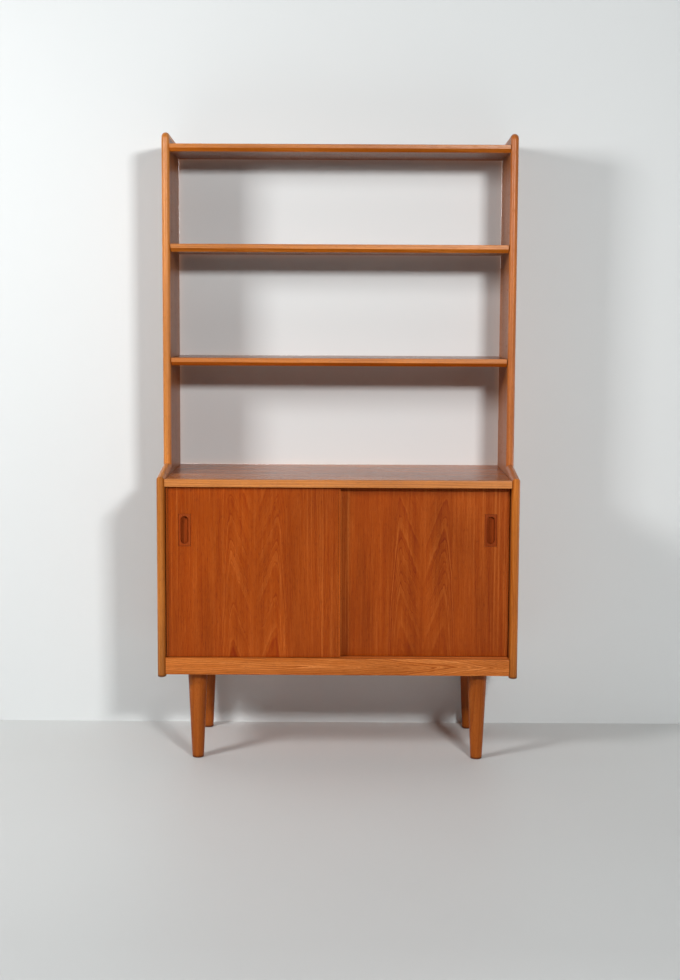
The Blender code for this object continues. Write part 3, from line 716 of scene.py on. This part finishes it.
def build_side_lips(mats):
    radius = SIDE_T / 2
    steps = 24
    section = [(radius, LIP_DEPTH)]
    for step in range(steps + 1):
        turn = math.pi * step / steps
        section.append((radius * math.cos(turn), radius * (1 - math.sin(turn))))
    section.append((-radius, LIP_DEPTH))
    for side, sign in SIDES.items():
        middle = sign * (WIDTH - SIDE_T) / 2
        for part, stations in lip_stations().items():
            stations = [(apex, inwards, 0.0) for apex, inwards in stations]
            if part == "lower":
                foot, inwards, inset = stations.pop(0)
                stations = [(foot + RUNS[0] * rise, inwards, inset)
                            for rise, inset in LIP_FOOT_EASE] + stations
            bm = bmesh.new()
            rings = []
            for apex, inwards, inset in stations:
                ring = []
                for x, depth in section:
                    at = apex + inwards * min(depth + inset, LIP_DEPTH)
                    ring.append(bm.verts.new((middle + x * (1 - inset / radius), at.x, at.y)))
                rings.append(ring)
            skin(bm, rings)
            mat = mats[f"lip_{side}" + {"upper": "", "lower": "_low"}.get(part, "_deep")]
            finish_piece(f"lipping_{side}_{part}", bm, mat, "carcass",
                         [f"side_lip_{side}_{part}"])


# ---------------------------------------------------------------- boards and doors
# widths of broken edges, softened bar ends and rounded bar edges
SHEET_EASE = 0.0003
BOARD_EASE = 0.0004
STRIP_EASE = 0.0008
RAIL_EASE = 0.0010
LOOSE_END_EASE = 0.0010
FIXED_END_EASE = 0.0002
BAR_ROUND = 0.0022


def build_boards(mats):
    for side in SIDES:
        eased(f"side_board_{side}", f"side_panel_{side}", mats[f"side_{side}"], "carcass",
              SHEET_EASE)
    for name in ("top_shelf", "upper_shelf", "middle_shelf"):
        body = "carcass" if name == "top_shelf" else name
        eased(f"{name}_board", name, mats[name], body, BOARD_EASE)
        low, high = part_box(f"{name}_lip")
        outline = bevelled_outline(low, high)
        nose = profile_bar(f"{name}_nose", outline, low.x, high.x, mats[f"{name}_lip"], body,
                           f"{name}_lip",
                           FIXED_END_EASE if body == "carcass" else LOOSE_END_EASE)
        nose.data.materials.append(mats[f"{name}_bevel"])
        # the bevel and the underside look down and take darker tones: painted shade
        for face in nose.data.polygons:
            face.material_index = int(face.normal.z < -0.3)
    for name, body in (("cabinet_top", "carcass"), ("cabinet_floor", "carcass"),
                       ("inner_shelf", "inner_shelf")):
        eased(f"{name}_board", name, mats[name], body, BOARD_EASE)
    for node, body, mat in (("cabinet_top_lip", "carcass", "cabinet_top_lip"),
                            ("inner_shelf_lip", "inner_shelf", "inner_shelf_lip"),
                            ("front_rail", "carcass", "rail")):
        low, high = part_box(node)
        outline = rounded([(high.y, high.z, False), (low.y, high.z, True), (low.y, low.z, True),
                           (high.y, low.z, False)], BAR_ROUND)
        profile_bar(f"{node}_bar", outline, low.x, high.x, mats[mat], body, node,
                    FIXED_END_EASE)
    eased("rear_rail_bar", "rear_rail", mats["rear_rail"], "carcass", RAIL_EASE, 2)
    eased("cabinet_back_sheet", "cabinet_back", mats["back"], "carcass", SHEET_EASE)


def stadium(half_w, half_h, steps=14):
    """Round-ended outline as (x, z) points, counter-clockwise from the right end's start."""
    straight = half_h - half_w
    points = []
    for end in (1, -1):
        for step in range(steps + 1):
            turn = math.pi * step / steps
            points.append((end * half_w * math.cos(turn),
                           end * (straight + half_w * math.sin(turn))))
    return points


def build_pull(side, sign, mats):
    """Solid insert with an upright, flat-bottomed finger slot and eased rims."""
    low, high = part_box(f"{side}_door_pull")
    x, z, face, back = sign * PULL_X, PULL_Z, low.y, high.y
    half_w, half_h = SLOT_W / 2, SLOT_H / 2
    outer_w, outer_h = (high.x - low.x) / 2, (high.z - low.z) / 2
    slot = stadium(half_w, half_h)
    bm = bmesh.new()

    def frame_ring(inset, y):
        ring = []
        for px, pz in slot:
            reach = max(abs(px) / (outer_w - inset), abs(pz) / (outer_h - inset))
            ring.append(bm.verts.new((x + px / reach, y, z + pz / reach)))
        return ring

    def slot_ring(grow, y):
        scale_w = (half_w + grow) / half_w
        scale_h = (half_h + grow) / half_h
        return [bm.verts.new((x + px * scale_w, y, z + pz * scale_h)) for px, pz in slot]

    rings = [frame_ring(0.0, back), frame_ring(0.0, face + PULL_EASE), frame_ring(PULL_EASE, face),
             slot_ring(PULL_EASE, face), slot_ring(PULL_EASE / 4, face + 0.0002),
             slot_ring(0.0, face + 0.0007), slot_ring(0.0, face + SLOT_D - PULL_EASE),
             slot_ring(-PULL_EASE, face + SLOT_D)]
    skin(bm, rings)
    pull = finish_piece(f"{side}_door_finger_pull", bm, mats["pull"], f"{side}_door",
                        [f"{side}_door_pull"], 50)
    # the slot's inner faces take the darker tones of painted shade
    pull.data.materials.append(mats["slot"])
    for polygon in pull.data.polygons:
        cut = abs(polygon.center.x - x) < half_w and abs(polygon.center.z - z) < half_h
        polygon.material_index = int(cut and face + 0.0005 < polygon.center.y < back - 0.001)


def build_doors(mats):
    for side, sign in SIDES.items():
        body = f"{side}_door"
        eased(f"{side}_door_board", f"{side}_door_panel", mats[f"door_{side}"], body,
              BOARD_EASE)
        for end in ("left", "right"):
            eased(f"{side}_door_strip_{end}", f"{side}_door_edge_{end}", mats["edge"], body,
                  STRIP_EASE, 3)
        build_pull(side, sign, mats)


# ---------------------------------------------------------------- legs and small metal
def build_legs(mats):
    """Turned legs: rounded foot, straight taper, small chamfer under the plate."""
    steps = 72
    for side, sign in SIDES.items():
        for end, y in LEG_Y.items():
            node = f"leg_{end}_{side}"
            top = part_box(node)[1].z
            top_r = LEG_FOOT_R + LEG_TAPER * top
            profile = [(LEG_FOOT_R - LEG_FOOT_ROUND, 0.0)]
            for step in range(1, 7):
                turn = math.pi / 2 * step / 6
                profile.append((LEG_FOOT_R - LEG_FOOT_ROUND * (1 - math.sin(turn)),
                                LEG_FOOT_ROUND * (1 - math.cos(turn))))
            profile += [(LEG_FOOT_R + LEG_TAPER * h, h) for h in (0.06, 0.12, 0.18)]
            profile += [(top_r - 0.0001, top - LEG_TOP_EASE), (top_r - LEG_TOP_EASE, top)]
            bm = bmesh.new()
            rings = []
            for r, z in profile:
                ring = []
                for step in range(steps):
                    turn = math.tau * step / steps
                    ring.append(bm.verts.new((sign * LEG_X + r * math.cos(turn),
                                              y + r * math.sin(turn), z)))
                rings.append(ring)
            skin(bm, rings)
            finish_piece(f"tapered_leg_{end}_{side}", bm, mats["leg"], "carcass", [node],
                         50)


def dress_metal(mats):
    for name, node in NODES.items():
        if name.startswith(("leg_bolt", "leg_plate", "shelf_pin")):
            mat = mats["brass" if name.startswith("shelf_pin") else "steel"]
            node.data.materials.clear()
            node.data.materials.append(mat)


# ---------------------------------------------------------------- stage, light, camera
def floor_material():
    """Pale paint, a little cloudy, with painted shade: darker towards the camera, lighter towards the
    wall.
    """
    graph = Graph("stage_floor")
    axes = graph.coordinates()
    cloud = graph.noise(graph.vector(*axes), FLOOR_CLOUD_WAVES)
    cloud = graph.spread(cloud, *NOISE_RANGE, 0.0, FLOOR_CLOUD)
    place = graph.math("ADD", graph.spread(axes[Y], *FLOOR_PAINTED_SHADE_Y), cloud)
    return graph.surface(graph.mix(place, FLOOR_NEAR_PAINTED_SHADE, FLOOR_FAR_PAINTED_LIGHT), FLOOR_ROUGH, None)


def sheet(name, corners, mat):
    """A flat piece of the studio."""
    mesh = bpy.data.meshes.new(name)
    mesh.from_pydata(corners, [], [(0, 1, 2, 3)])
    mesh.materials.append(mat)
    obj = bpy.data.objects.new(name, mesh)
    bpy.context.scene.collection.objects.link(obj)


def wall_material():
    """Painted wall that is clear from behind, and to light for the backs right against it.

    The cabinet's back lies a little deeper than the edges of the boards.
    """
    graph = Graph("stage_wall")
    paint = graph.add("ShaderNodeBsdfPrincipled")
    paint.inputs["Base Color"].default_value = WALL_PAINT
    paint.inputs["Roughness"].default_value = WALL_ROUGH
    clear = graph.add("ShaderNodeBsdfTransparent")
    behind = graph.add("ShaderNodeNewGeometry").outputs["Backfacing"]
    reach = graph.add("ShaderNodeLightPath").outputs["Ray Length"]
    x, _, z = graph.coordinates()
    cabinet = graph.math("LESS_THAN", z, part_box("cabinet_top")[1].z)
    limit = graph.math("MULTIPLY_ADD", cabinet, CABINET_BACK_RECESS, WALL_CLEAR_REACH)
    touching = graph.math("LESS_THAN", reach, limit)
    for inside in (graph.math("GREATER_THAN", z, SIDE_BOTTOM_Z),
                   graph.math("LESS_THAN", graph.math("ABSOLUTE", x), WIDTH / 2)):
        touching = graph.math("MULTIPLY", touching, inside)
    choose = graph.add("ShaderNodeMixShader")
    graph.link(graph.math("MAXIMUM", behind, touching), choose.inputs[0])
    graph.link(paint.outputs[0], choose.inputs[1])
    graph.link(clear.outputs[0], choose.inputs[2])
    graph.link(choose.outputs[0], graph.out.inputs[0])
    return graph.mat


def build_stage():
    wall_y = BACK_Y + WALL_GAP
    side, top = STAGE_HALF_WIDTH, STAGE_HEIGHT
    sheet("stage_floor", [(-side, STAGE_FRONT_Y, 0), (side, STAGE_FRONT_Y, 0), (side, side, 0),
                          (-side, side, 0)], floor_material())
    sheet("stage_wall", [(-side, wall_y, 0), (side, wall_y, 0), (side, wall_y, top),
                         (-side, wall_y, top)], wall_material())


def area_light(name, place, target, size, power, spread):
    light = bpy.data.lights.new(name, "AREA")
    light.shape = "RECTANGLE"
    light.size, light.size_y = size
    light.energy = power
    light.spread = math.radians(spread)
    obj = bpy.data.objects.new(name, light)
    obj.location = place
    obj.rotation_euler = (Vector(target) - Vector(place)).to_track_quat("-Z", "Y").to_euler()
    obj.visible_camera = False
    bpy.context.scene.collection.objects.link(obj)


def build_light():
    """A key softbox in front to the right, a wider one close by on the left, and two fills.

    The fills only reach what the front doesn't show: one skims along the wall to the right
    side, and one stands behind the wall, which is clear to the back of the bookcase.
    """
    for name, values in LIGHTS.items():
        area_light(name, *values)
    world = bpy.data.worlds.new("studio")
    world.use_nodes = True
    tree = world.node_tree
    background = tree.nodes["Background"]
    background.inputs[0].default_value = SKY_LIGHT
    background.inputs[1].default_value = SKY_STRENGTH
    seen = tree.nodes.new("ShaderNodeBackground")
    seen.inputs[0].default_value = SKY_SEEN
    path = tree.nodes.new("ShaderNodeLightPath")
    choose = tree.nodes.new("ShaderNodeMixShader")
    tree.links.new(path.outputs["Is Camera Ray"], choose.inputs[0])
    tree.links.new(background.outputs[0], choose.inputs[1])
    tree.links.new(seen.outputs[0], choose.inputs[2])
    tree.links.new(choose.outputs[0], tree.nodes["World Output"].inputs[0])
    bpy.context.scene.world = world
    bpy.context.scene.view_settings.view_transform = "Standard"


def build_camera():
    """The camera fitted to the photograph; the sensor size is the picture's long side."""
    pitch, yaw, roll = (math.radians(v) for v in (CAMERA_PITCH, CAMERA_YAW, CAMERA_ROLL))
    forward = Vector((math.sin(yaw) * math.cos(pitch), math.cos(yaw) * math.cos(pitch),
                      math.sin(pitch)))
    level = Vector((math.cos(yaw), -math.sin(yaw), 0))
    up = level.cross(forward)
    right = level * math.cos(roll) + up * math.sin(roll)
    up = up * math.cos(roll) - level * math.sin(roll)
    data = bpy.data.cameras.new("camera")
    data.sensor_width = CAMERA_SENSOR
    data.lens = CAMERA_LENS
    cam = bpy.data.objects.new("camera", data)
    basis = Matrix((right, up, -forward)).transposed()
    cam.matrix_world = Matrix.Translation(CAMERA_PLACE) @ basis.to_4x4()
    bpy.context.scene.collection.objects.link(cam)
    bpy.context.scene.camera = cam


materials = build_materials()
build_side_lips(materials)
build_boards(materials)
build_doors(materials)
build_legs(materials)
dress_metal(materials)
build_stage()
build_light()
build_camera()
